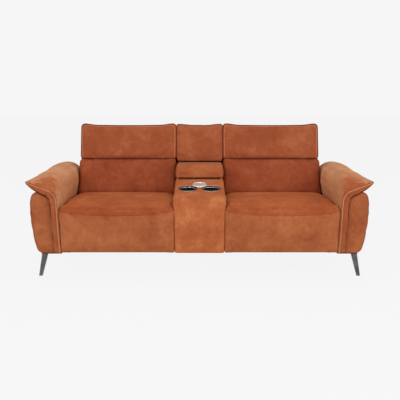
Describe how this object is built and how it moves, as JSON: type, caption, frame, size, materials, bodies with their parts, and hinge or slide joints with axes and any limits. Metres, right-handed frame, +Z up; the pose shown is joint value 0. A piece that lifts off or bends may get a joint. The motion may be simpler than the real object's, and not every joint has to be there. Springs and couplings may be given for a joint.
{
  "type": "reclining console loveseat",
  "caption": "Reclining fabric loveseat with flared pillow arms, a middle console with lid, cup holders and charging disc, adjustable headrests and splayed metal legs.",
  "frame": {"origin": "centre of the bounding box on the floor", "axes": "+X to the viewer's right, the front faces -Y, +Z up"},
  "size_m": [2.108, 0.9428, 0.9141],
  "materials": {
    "burnt_orange_fabric": "matte",
    "hardwood_board": "matte",
    "dark_steel": "satin",
    "gunmetal_leg": "satin",
    "gloss_black_plastic": "gloss",
    "grey_plastic": "matte",
    "bright_chrome": "polished",
    "pearl_plastic": "gloss"
  },
  "bodies": {
    "root": {"left_arm_frame": "hardwood_board", "left_arm_body": "burnt_orange_fabric", "left_arm_pad": "burnt_orange_fabric", "left_arm_front_band": "burnt_orange_fabric", "left_front_leg": "gunmetal_leg", "left_rear_leg": "gunmetal_leg", "left_seat_frame": "dark_steel", "left_seat_deck": "dark_steel", "left_seat_cushion": "burnt_orange_fabric", "left_drive_rail": "grey_plastic", "left_switch_plate": "grey_plastic", "right_arm_frame": "hardwood_board", "right_arm_body": "burnt_orange_fabric", "right_arm_pad": "burnt_orange_fabric", "right_arm_front_band": "burnt_orange_fabric", "right_front_leg": "gunmetal_leg", "right_rear_leg": "gunmetal_leg", "right_seat_frame": "dark_steel", "right_seat_deck": "dark_steel", "right_seat_cushion": "burnt_orange_fabric", "right_drive_rail": "grey_plastic", "right_switch_plate": "grey_plastic", "console_frame": "hardwood_board", "console_cover": "burnt_orange_fabric", "cup_holder_left": "gloss_black_plastic", "cup_holder_right": "gloss_black_plastic", "charger_disc": "pearl_plastic", "charger_ring": "bright_chrome", "storage_bin": "grey_plastic", "lid_hinge": "dark_steel", "console_back_frame": "dark_steel", "console_back_cover": "burnt_orange_fabric"},
    "left_back": {"left_back_frame": "dark_steel", "left_lumbar_cushion": "burnt_orange_fabric", "left_back_cover": "burnt_orange_fabric"},
    "left_headrest": {"left_headrest_bracket": "dark_steel", "left_headrest_cushion": "burnt_orange_fabric"},
    "left_rear_links": {"left_footrest_rear_links": "dark_steel"},
    "left_front_links": {"left_footrest_front_links": "dark_steel"},
    "left_footrest": {"left_footrest_board": "hardwood_board", "left_footrest_pad": "burnt_orange_fabric"},
    "left_carriage": {"left_drive_carriage": "grey_plastic"},
    "left_front_rocker": {"left_front_rocker": "gloss_black_plastic"},
    "left_rear_rocker": {"left_rear_rocker": "gloss_black_plastic"},
    "right_back": {"right_back_frame": "dark_steel", "right_lumbar_cushion": "burnt_orange_fabric", "right_back_cover": "burnt_orange_fabric"},
    "right_headrest": {"right_headrest_bracket": "dark_steel", "right_headrest_cushion": "burnt_orange_fabric"},
    "right_rear_links": {"right_footrest_rear_links": "dark_steel"},
    "right_front_links": {"right_footrest_front_links": "dark_steel"},
    "right_footrest": {"right_footrest_board": "hardwood_board", "right_footrest_pad": "burnt_orange_fabric"},
    "right_carriage": {"right_drive_carriage": "grey_plastic"},
    "right_front_rocker": {"right_front_rocker": "gloss_black_plastic"},
    "right_rear_rocker": {"right_rear_rocker": "gloss_black_plastic"},
    "lid": {"lid_board": "hardwood_board", "lid_pad": "burnt_orange_fabric"},
    "console_back": {"console_back_board": "hardwood_board", "console_back_pad": "burnt_orange_fabric"}
  },
  "joints": [
    {"name": "left_recline", "type": "hinge", "parent": "root", "child": "left_back", "pos_m": [-0.504, 0.15459, 0.3], "axis": [-1, 0, 0], "range_deg": [0, 30]},
    {"name": "left_headrest_tilt", "type": "hinge", "parent": "left_back", "child": "left_headrest", "pos_m": [-0.504, 0.22857, 0.67937], "axis": [1, 0, 0], "range_deg": [0, 30]},
    {"name": "left_footrest_swing", "type": "hinge", "parent": "root", "child": "left_rear_links", "pos_m": [-0.504, -0.29541, 0.318], "axis": [-1, 0, 0], "range_deg": [0, 62]},
    {"name": "left_footrest_knee", "type": "hinge", "parent": "left_rear_links", "child": "left_front_links", "pos_m": [-0.504, -0.3425, 0.15465], "axis": [1, 0, 0], "range_deg": [0, 124.2]},
    {"name": "left_footrest_board_turn", "type": "hinge", "parent": "left_front_links", "child": "left_footrest", "pos_m": [-0.504, -0.37241, 0.322], "axis": [-1, 0, 0], "range_deg": [0, 139.7]},
    {"name": "left_drive_travel", "type": "slide", "parent": "root", "child": "left_carriage", "axis": [0, -1, 0], "range_m": [0, 0.06]},
    {"name": "left_front_rocker_tilt", "type": "hinge", "parent": "root", "child": "left_front_rocker", "pos_m": [-0.1584, -0.11641, 0.507], "axis": [0, 1, 0], "range_deg": [-5, 5], "stiffness_Nm_per_rad": 0.05},
    {"name": "left_rear_rocker_tilt", "type": "hinge", "parent": "root", "child": "left_rear_rocker", "pos_m": [-0.1584, -0.08441, 0.507], "axis": [0, 1, 0], "range_deg": [-5, 5], "stiffness_Nm_per_rad": 0.05},
    {"name": "right_recline", "type": "hinge", "parent": "root", "child": "right_back", "pos_m": [0.504, 0.15459, 0.3], "axis": [-1, 0, 0], "range_deg": [0, 30]},
    {"name": "right_headrest_tilt", "type": "hinge", "parent": "right_back", "child": "right_headrest", "pos_m": [0.504, 0.22857, 0.67937], "axis": [1, 0, 0], "range_deg": [0, 30]},
    {"name": "right_footrest_swing", "type": "hinge", "parent": "root", "child": "right_rear_links", "pos_m": [0.504, -0.29541, 0.318], "axis": [-1, 0, 0], "range_deg": [0, 62]},
    {"name": "right_footrest_knee", "type": "hinge", "parent": "right_rear_links", "child": "right_front_links", "pos_m": [0.504, -0.3425, 0.15465], "axis": [1, 0, 0], "range_deg": [0, 124.2]},
    {"name": "right_footrest_board_turn", "type": "hinge", "parent": "right_front_links", "child": "right_footrest", "pos_m": [0.504, -0.37241, 0.322], "axis": [-1, 0, 0], "range_deg": [0, 139.7]},
    {"name": "right_drive_travel", "type": "slide", "parent": "root", "child": "right_carriage", "axis": [0, -1, 0], "range_m": [0, 0.06]},
    {"name": "right_front_rocker_tilt", "type": "hinge", "parent": "root", "child": "right_front_rocker", "pos_m": [0.1584, -0.11641, 0.507], "axis": [0, 1, 0], "range_deg": [-5, 5], "stiffness_Nm_per_rad": 0.05},
    {"name": "right_rear_rocker_tilt", "type": "hinge", "parent": "root", "child": "right_rear_rocker", "pos_m": [0.1584, -0.08441, 0.507], "axis": [0, 1, 0], "range_deg": [-5, 5], "stiffness_Nm_per_rad": 0.05},
    {"name": "lid_hinge_turn", "type": "hinge", "parent": "root", "child": "lid", "pos_m": [0, 0.18059, 0.648], "axis": [-1, 0, 0], "range_deg": [0, 75]},
    {"name": "console_back_drop", "type": "hinge", "parent": "root", "child": "console_back", "pos_m": [0, 0.22928, 0.70702], "axis": [-1, 0, 0], "range_deg": [-100, 0]}
  ],
  "couplings": [
    {"joint": "left_footrest_knee", "follows": "left_footrest_swing", "ratio": 2},
    {"joint": "left_footrest_board_turn", "follows": "left_footrest_swing", "ratio": 2.25},
    {"joint": "left_drive_travel", "follows": "left_footrest_swing", "m_per_rad": 0.0554},
    {"joint": "right_footrest_knee", "follows": "right_footrest_swing", "ratio": 2},
    {"joint": "right_footrest_board_turn", "follows": "right_footrest_swing", "ratio": 2.25},
    {"joint": "right_drive_travel", "follows": "right_footrest_swing", "m_per_rad": 0.0554}
  ]
}
